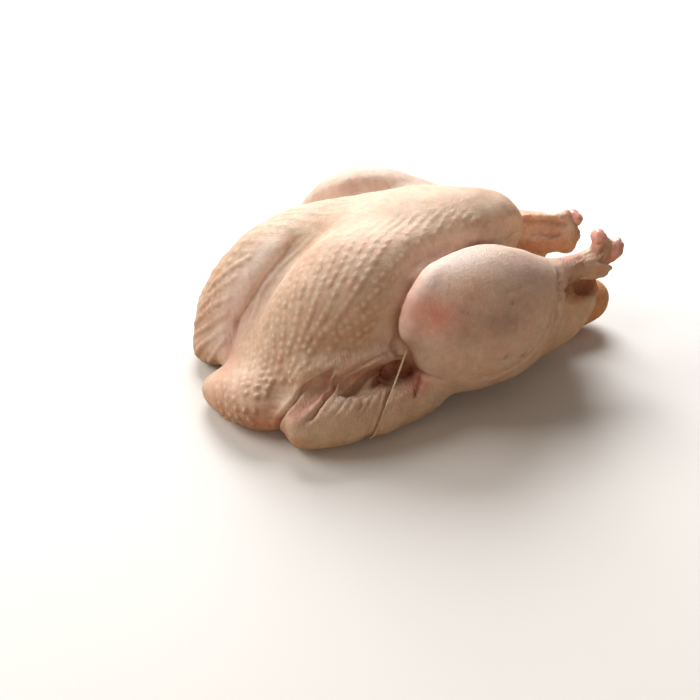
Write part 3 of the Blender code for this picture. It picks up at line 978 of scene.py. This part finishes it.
def skin_material(colours):
    """Pale mottled skin, tinted where it is painted, damper on the amber skin and the flesh. Some tints are
    painted light and shade.
    """
    material, nodes, shader = new_material("raw_skin_damp")
    where, surface = damp_surface(nodes)
    colour = nodes.blend(nodes.remap(surface["Patches"], 0.42, 0.66, 0.0, 0.42), colours.pale, colours.fatty)
    rosy = nodes.remap(nodes.noise(where, 26.0, 3.0, 0.6, Distortion=0.4), 0.50, 0.72, 0.0, 0.22)
    colour = nodes.blend(rosy, colour, colours.blush)
    uneven = nodes.remap(nodes.noise(where, 95.0, 3.0, 0.6), 0.25, 0.75, 0.75, 1.2)
    strengths = {name: uneven for name in ("milky", "amber", "fatty", "blush", "dusky", "bare")}
    # The follicles' tint is a painted highlight and the hollows' tint is painted shade.
    strengths |= {"follicle": 0.34, "hollow": 0.62}
    for name, strength in strengths.items():
        share = nodes.maths("MULTIPLY", nodes.share(name), strength)
        colour = nodes.blend(share, colour, getattr(colours, name))
    shade = nodes.remap(surface["Flecks"], 0.30, 0.70, 0.90, 1.05)
    cloud = nodes.remap(nodes.noise(where, 170.0, 4.0, 0.6), 0.34, 0.66, 0.92, 1.04)
    tinge = nodes.remap(nodes.noise(where, 120.0, 3.0, 0.6), 0.35, 0.65, 0.93, 1.03)
    red = nodes.maths("MULTIPLY", shade, cloud)
    rest = nodes.maths("MULTIPLY", red, tinge)
    mottle = nodes.add("ShaderNodeCombineColor", {0: red, 1: rest, 2: rest}).outputs[0]
    rough = nodes.remap(surface["Flecks"], 0.3, 0.7, 0.36, 0.56)
    wet = nodes.maths("MAXIMUM", nodes.share("amber"), nodes.share("bare"))
    wet = nodes.remap(wet, 0.1, 0.7, 1.0, 0.6)
    lie = {"Vector": where, "Rotation": (0.0, 0.5, -0.55), "Scale": (1.0, 0.3, 0.45)}
    creases = nodes.noise(nodes.add("ShaderNodeMapping", lie).outputs[0], 620.0, 2.0, 0.5, Distortion=0.8)
    creases = nodes.maths("MULTIPLY", nodes.remap(creases, 0.3, 0.6), nodes.share("creased"))
    relief = nodes.maths("MULTIPLY_ADD", creases, 1.3, surface["Relief"])
    settings = {
        "Base Color": nodes.blend(1.0, colour, mottle, "MULTIPLY"),
        "Roughness": nodes.maths("MULTIPLY", rough, wet),
        "Normal": nodes.bump(relief, 0.6, 0.0006),
        "Subsurface Weight": 0.25,
        "Subsurface Radius": (1.0, 0.42, 0.26),
        "Subsurface Scale": 0.0030,
        "IOR": 1.42,
        "Specular IOR Level": 0.32,
    }
    nodes.set(shader, settings)
    return material


def cartilage_material(colours):
    material, nodes, shader = new_material("cut_cartilage")
    _, surface = damp_surface(nodes, grain=0.6)
    pale = nodes.remap(surface["Flecks"], 0.45, 0.75, 0.0, 0.55)
    settings = {
        "Base Color": nodes.blend(pale, colours.cartilage, colours.gristle),
        "Roughness": nodes.remap(surface["Patches"], 0.3, 0.7, 0.2, 0.36),
        "Normal": nodes.bump(surface["Relief"], 0.3, 0.0003),
        "Subsurface Weight": 0.3,
        "Subsurface Radius": (1.0, 0.35, 0.2),
        "Subsurface Scale": 0.002,
    }
    nodes.set(shader, settings)
    return material


def elastic_material(colours):
    material, nodes, shader = new_material("elastic_thread")
    where = nodes.add("ShaderNodeTexCoord").outputs["Object"]
    fibres = nodes.noise(where, 1900.0, 3.0, 0.6)
    stains = nodes.remap(nodes.noise(where, 160.0, 2.0, 0.5), 0.5, 0.75, 0.0, 0.5)
    colour = nodes.blend(nodes.remap(fibres, 0.35, 0.7), colours.elastic, colours.fibre)
    settings = {
        "Base Color": nodes.blend(stains, colour, colours.soil),
        "Roughness": nodes.remap(fibres, 0.3, 0.7, 0.5, 0.72),
        "Normal": nodes.bump(fibres, 0.4, 0.0001),
    }
    nodes.set(shader, settings)
    return material


def floor_material():
    """Pale where it is seen, white far off, and warm in the light that it throws back at the bird."""
    material, nodes, shader = new_material("pale_floor")
    nodes.set(shader, {"Base Color": (0.86, 0.85, 0.84), "Roughness": 0.8})
    warm = nodes.add("ShaderNodeBsdfDiffuse", {"Color": (0.42, 0.31, 0.20)})
    white = nodes.add("ShaderNodeEmission", {"Color": (1, 1, 1)})
    seen = nodes.add("ShaderNodeLightPath").outputs["Is Camera Ray"]
    where = nodes.add("ShaderNodeTexCoord").outputs["Object"]
    away = nodes.add("ShaderNodeVectorMath", {0: where}, operation="LENGTH").outputs["Value"]
    fade = nodes.remap(away, 0.3, 0.8)
    faded = nodes.add("ShaderNodeMixShader", {0: fade, 1: shader.outputs[0], 2: white.outputs[0]})
    mix = nodes.add("ShaderNodeMixShader", {0: seen, 1: warm.outputs[0], 2: faded.outputs[0]})
    nodes.set(material.node_tree.nodes["Material Output"], {"Surface": mix.outputs[0]})
    return material


# ---- painting the skin's regions, with painted light and shade ----


def store(mesh, name, values):
    attribute = mesh.attributes.get(name) or mesh.attributes.new(name, "FLOAT", "POINT")
    attribute.data.foreach_set("value", np.clip(values, 0, 1).astype(np.float32))


def hollows(mesh, points, normals, repeats):
    """How far each point lies below the average of the skin round it, in millimetres."""
    edges = np.empty(len(mesh.edges) * 2, dtype=int)
    mesh.edges.foreach_get("vertices", edges)
    first, second = edges.reshape(-1, 2).T
    count = np.bincount(first, minlength=len(points)) + np.bincount(second, minlength=len(points))
    eased = points.copy()
    for _ in range(repeats):
        total = np.zeros_like(eased)
        for axis in range(3):
            total[:, axis] += np.bincount(first, eased[second, axis], len(points))
            total[:, axis] += np.bincount(second, eased[first, axis], len(points))
        eased = 0.5 * eased + 0.5 * total / count[:, None]
    return ((eased - points) * normals).sum(axis=1)


def painted(points, name):
    """The strongest of a tint's spots and strokes at each point."""
    share = np.zeros(len(points))
    for strength, radii, *centres in SPOTS.get(name, ()):
        for centre in centres:
            share = np.maximum(share, strength * near_spot(points, centre, radii))
    for strength, width, route in STROKES.get(name, ()):
        share = np.maximum(share, strength * near_route(points, route, width))
    return share


def strongest(*shares):
    return np.maximum.reduce(shares)


def paint_regions(skin, tops, pit_shade):
    """Stores the share of each tint at each point of the skin, painted light and shade among them."""
    mesh = skin.data
    points = read_points(mesh)
    normals = read_normals(mesh)
    zones = zones_of(points)
    fine = hollows(mesh, points, normals, repeats=6)
    broad = hollows(mesh, points, normals, repeats=60)
    # Painted shadow under the near shank, laid on in the shade, flesh and amber tints.
    shank_shadow = painted(points, "under shank")
    shank_shadow *= smooth_step(12, 8, distance_to(points, route_line(SHANK_SHADOW_LINE))[0])
    far_shank = on_limb(points, FAR_SHANK, 1.2, 1.6) * smooth_step(66, 80, points[:, 0])
    # The web of the near wing, painted with shade and a dusky tone.
    webbed = painted(points, "webbed")
    # Painted light, which also lifts the painted shade where it lies.
    milky = painted(points, "milky")
    # Painted shade: darker low in the folds, round the follicles, under the near shank and along the thigh,
    # lifted where painted light lies.
    painted_shade = 0.6 * smooth_step(0.08, 0.6, fine) + 0.3 * smooth_step(1.2, 4.0, broad)
    painted_shade = strongest(painted_shade, 1.2 * shank_shadow, 2.0 * pit_shade, painted(points, "hollow")) * (1 - 0.8 * milky)
    # Painted shade, darker deeper in the recess between wing and thigh.
    recess_shade = near_route(points, RECESS, 9.0) * smooth_step(0.5, 2.0, broad)
    bare = strongest(painted(points, "bare"), recess_shade, 0.5 * shank_shadow)
    creased = np.maximum(zones["wing"], 0.8 * zones["shank"]) * (1 - 0.5 * bare.clip(0, 1))
    shares = {
        # Painted highlight on the tops of the follicles.
        "follicle": tops,
        # Painted shade in the hollows and in the web of the near wing.
        "hollow": np.maximum(painted_shade, 0.75 * webbed),
        "blush": strongest(painted(points, "blush"), 0.12 * zones["thigh"], 0.22 * far_shank),
        "bare": bare,
        "dusky": np.maximum(painted(points, "dusky"), 0.2 * webbed),
        # Amber: the tail's and hocks' own colour, and painted shadow under the near shank.
        "amber": strongest(zones["tail"], 0.3 * far_shank, 0.42 * zones["shank"], 0.9 * shank_shadow),
        # The thighs' own milky tone, and the painted light.
        "milky": np.maximum(milky, 0.42 * zones["thigh"]),
        "fatty": painted(points, "fatty"),
        "creased": strongest(creased, 0.6 * zones["tail"], 0.22 * zones["thigh"]),
    }
    for name, values in shares.items():
        store(mesh, name, values)


# ---- the other pieces ----


def finish_piece(obj, material, slot, *nodes):
    """Material, smooth shading, body and the CAD nodes that the piece stands for. The slot is not used."""
    obj.data.materials.clear()
    obj.data.materials.append(material)
    obj.data.shade_smooth()
    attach(obj, "root")
    if nodes:
        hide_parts(*nodes)


def cartilage_knob(centre, radii, lean):
    """An uneven knob with a shallow cleft down its outer side."""
    knob, unit = new_ball(segments=40, rings=26)
    uneven = 1 + 0.10 * swells(unit, 0.7, 3.0 + lean) + 0.04 * swells(unit, 0.28, 9.0 + lean)
    cleft = np.exp(-((unit[:, 1] / 0.22) ** 2)) * smooth_step(-0.3, 0.2, unit[:, 0])
    x, y, z = (unit * (uneven * (1 - 0.16 * cleft))[:, None] * radii).T
    leaning = np.c_[x * math.cos(lean) + z * math.sin(lean), y, z * math.cos(lean) - x * math.sin(lean)]
    write_points(knob.data, placed(centre) + leaning)
    return knob


def torn_sleeve(stations, draws):
    """Loose skin torn off round the end of a leg: a crumpled sleeve that flares to a ragged edge."""
    bpy.ops.object.select_all(action="DESELECT")
    bpy.ops.mesh.primitive_grid_add(x_subdivisions=72, y_subdivisions=14, size=2.0)
    sleeve = bpy.context.object
    sleeve.name = "hock_skin"
    flat = read_points(sleeve.data) * MM
    angle = math.pi * (1 + flat[:, 0])
    phase = draws.uniform(0, 2 * math.pi, 4)
    ragged = 0.84 + 0.10 * np.sin(3 * angle + phase[0]) + 0.07 * np.sin(7 * angle + phase[1])
    share = (1 + flat[:, 1]) / 2 * ragged
    crumpled = np.sin(9 * angle + phase[2] + 3 * share) + np.sin(17 * angle + phase[3] - 4 * share)
    flare = 0.90 + 0.12 * share**1.5 + 0.05 * share * crumpled
    rows = spline(stations, share)
    places = placed(rows[:, :3])
    places[:, 0] += 1.4 * np.sin(angle * 5 + phase[0]) * share
    places[:, 1] += rows[:, 3] * flare * np.cos(angle)
    places[:, 2] += rows[:, 4] * flare * np.sin(angle)
    write_points(sleeve.data, places)
    with editing(sleeve):
        bpy.ops.mesh.remove_doubles(threshold=1e-5)
    use_modifier(sleeve, "SOLIDIFY", thickness=0.0009, offset=0.0)
    use_modifier(sleeve, "SMOOTH", factor=0.5, iterations=2)
    with editing(sleeve):
        bpy.ops.mesh.normals_make_consistent(inside=False)
    return sleeve


def middle_of_tube(node):
    """The middle line of a packed tube, in metres: the mean of each of its rings, from its first end on."""
    points = np.unique(np.round(read_points(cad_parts[node].data), 3), axis=0)
    here = points[np.argmin(points[:, ELASTIC_TUBES[node]])]
    line = []
    while len(points):
        order = np.argsort(np.linalg.norm(points - here, axis=1))
        here = points[order[:TUBE_SIDES]].mean(axis=0)
        line.append(here)
        points = points[np.sort(order[TUBE_SIDES:])]
    return np.array(line) * MM


def twisted_thread(name, route, radius):
    """Two strands twisted round each other along the route."""
    turn_length = 0.0032
    steps_per_turn = 9
    turns = np.linalg.norm(np.diff(route, axis=0), axis=1).sum() / turn_length
    share = np.linspace(0, 1, int(turns * steps_per_turn) + 2)
    middle = spline(route, share)
    across, upward = side_directions(unit_rows(np.gradient(middle, axis=0)), (0.2, 0.9, 0.35))
    curve = bpy.data.curves.new(name, "CURVE")
    curve.dimensions = "3D"
    curve.bevel_depth = radius
    curve.bevel_resolution = 2
    curve.use_fill_caps = True
    for start in (0.0, math.pi):
        angle = (start - 2 * math.pi * turns * share)[:, None]
        path = middle + 0.8 * radius * (np.cos(angle) * across + np.sin(angle) * upward)
        line = curve.splines.new("POLY")
        line.points.add(len(path) - 1)
        line.points.foreach_set("co", np.c_[path, np.ones(len(path))].ravel())
    obj = bpy.data.objects.new(name, curve)
    bpy.context.scene.collection.objects.link(obj)
    select_only(obj)
    bpy.ops.object.convert(target="MESH")
    return bpy.context.object


# ---- stage ----


def add_area_light(name, place, size, colour, power):
    bpy.ops.object.light_add(type="AREA", location=place)
    light = bpy.context.object
    light.name = name
    light.rotation_mode = "QUATERNION"
    light.rotation_quaternion = (Vector(LIT_PLACE) - Vector(place)).to_track_quat("-Z", "Y")
    light.data.size = size
    light.data.energy = power
    light.data.color = colour


def add_surroundings(strength):
    """Soft light from all round, and a plain white backdrop where nothing stands."""
    world = bpy.data.worlds.new("surroundings")
    world.use_nodes = True
    bpy.context.scene.world = world
    nodes = Nodes(world.node_tree)
    soft = world.node_tree.nodes["Background"]
    nodes.set(soft, {"Color": (1.0, 0.87, 0.75), "Strength": strength})
    backdrop = nodes.add("ShaderNodeBackground", {"Color": (1, 1, 1), "Strength": 1.0})
    seen = nodes.add("ShaderNodeLightPath").outputs["Is Camera Ray"]
    mix = nodes.add("ShaderNodeMixShader", {0: seen, 1: soft.outputs[0], 2: backdrop.outputs[0]})
    nodes.set(world.node_tree.nodes["World Output"], {"Surface": mix.outputs[0]})


def add_camera(lens):
    bpy.ops.object.camera_add(location=CAMERA_PLACE)
    camera = bpy.context.object
    camera.name = "camera"
    camera.data.lens = lens
    camera.data.sensor_width = 36.0
    azimuth, elevation = (math.radians(angle) for angle in CAMERA_ANGLES)
    level = math.cos(elevation)
    back = Vector((math.sin(azimuth) * level, -math.cos(azimuth) * level, math.sin(elevation)))
    camera.rotation_mode = "QUATERNION"
    camera.rotation_quaternion = (-back).to_track_quat("-Z", "Y")
    bpy.context.scene.camera = camera


# ---- operators ----


class CHICKEN_OT_skin(bpy.types.Operator):
    """Models the skin with its folds, wrinkles and follicles"""

    bl_idname = "chicken.skin"
    bl_label = "Skin"

    def execute(self, context):
        sizes = context.scene.bird_sizes
        skin = build_skin_form(sizes)
        tops, pit_shade = sculpt_relief(skin, sizes)
        paint_regions(skin, tops, pit_shade)
        finish_piece(skin, skin_material(context.scene.bird_colours), "raw_skin", "chicken")
        return {"FINISHED"}


class CHICKEN_OT_cartilage(bpy.types.Operator):
    """Models the cartilage at the cut ends of the legs"""

    bl_idname = "chicken.cartilage"
    bl_label = "Cartilage"

    def execute(self, context):
        select_only(*[cartilage_knob(*knob) for knob in KNOBS])
        bpy.ops.object.join()
        cartilage = bpy.context.object
        cartilage.name = "hock_cartilage"
        finish_piece(cartilage, cartilage_material(context.scene.bird_colours), "raw_skin")
        return {"FINISHED"}


class CHICKEN_OT_torn_skin(bpy.types.Operator):
    """Models the skin torn off round the end of the near leg, in the material of the skin"""

    bl_idname = "chicken.torn_skin"
    bl_label = "Torn skin"

    def execute(self, context):
        sleeve = torn_sleeve(TORN_SLEEVE, np.random.default_rng(context.scene.bird_sizes.seed))
        points = read_points(sleeve.data)
        store(sleeve.data, "blush", 0.30 + 0.35 * swells(points, 5))
        store(sleeve.data, "fatty", 0.15 + 0.5 * swells(points, 4, 8.0))
        store(sleeve.data, "creased", np.full(len(points), 0.5))
        finish_piece(sleeve, bpy.data.materials["raw_skin_damp"], "raw_skin")
        return {"FINISHED"}


class CHICKEN_OT_elastic(bpy.types.Operator):
    """Models the elastic over the wings and its loose curled end"""

    bl_idname = "chicken.elastic"
    bl_label = "Elastic"

    def execute(self, context):
        material = elastic_material(context.scene.bird_colours)
        for node in ELASTIC_TUBES:
            thread = twisted_thread(node + "_thread", middle_of_tube(node), context.scene.bird_sizes.strand)
            finish_piece(thread, material, "elastic", node)
        return {"FINISHED"}


class CHICKEN_OT_stage(bpy.types.Operator):
    """Adds the floor, the soft studio light and the camera"""

    bl_idname = "chicken.stage"
    bl_label = "Stage"

    def execute(self, context):
        settings = context.scene.stage_sizes
        bpy.ops.object.select_all(action="DESELECT")
        bpy.ops.mesh.primitive_plane_add(size=6.0, location=(0, 0, 0))
        floor = bpy.context.object
        floor.name = "floor"
        floor.data.materials.append(floor_material())
        for name, form in LIGHTS.items():
            add_area_light(name, *form, getattr(settings, name))
        add_surroundings(settings.sky)
        add_camera(settings.lens)
        context.scene.view_settings.view_transform = "Standard"
        return {"FINISHED"}


class CHICKEN_PT_panel(bpy.types.Panel):
    """Lists the chicken's pieces and their settings"""

    bl_idname = "CHICKEN_PT_panel"
    bl_label = "Raw chicken"
    bl_space_type = "VIEW_3D"
    bl_region_type = "UI"
    bl_category = "Chicken"

    def draw(self, context):
        layout = self.layout
        for settings in (context.scene.bird_sizes, context.scene.bird_colours, context.scene.stage_sizes):
            box = layout.box()
            for name in settings.bl_rna.properties.keys():
                if name not in {"rna_type", "name"}:
                    box.prop(settings, name)
        for operator in OPERATORS:
            layout.operator(operator.bl_idname)


GROUPS = {"bird_sizes": BirdSizes, "bird_colours": BirdColours, "stage_sizes": StageSizes}
PIECES = (CHICKEN_OT_skin, CHICKEN_OT_cartilage, CHICKEN_OT_torn_skin, CHICKEN_OT_elastic)
OPERATORS = (*PIECES, CHICKEN_OT_stage)
CLASSES = (*GROUPS.values(), *OPERATORS, CHICKEN_PT_panel)


def register():
    for cls in CLASSES:
        bpy.utils.register_class(cls)
    for name, group in GROUPS.items():
        setattr(bpy.types.Scene, name, PointerProperty(type=group))


def unregister():
    for name in GROUPS:
        delattr(bpy.types.Scene, name)
    for cls in reversed(CLASSES):
        bpy.utils.unregister_class(cls)


def main():
    register()
    bpy.ops.chicken.skin()
    bpy.ops.chicken.cartilage()
    bpy.ops.chicken.torn_skin()
    bpy.ops.chicken.elastic()
    bpy.ops.chicken.stage()


if __name__ == "__main__":
    main()
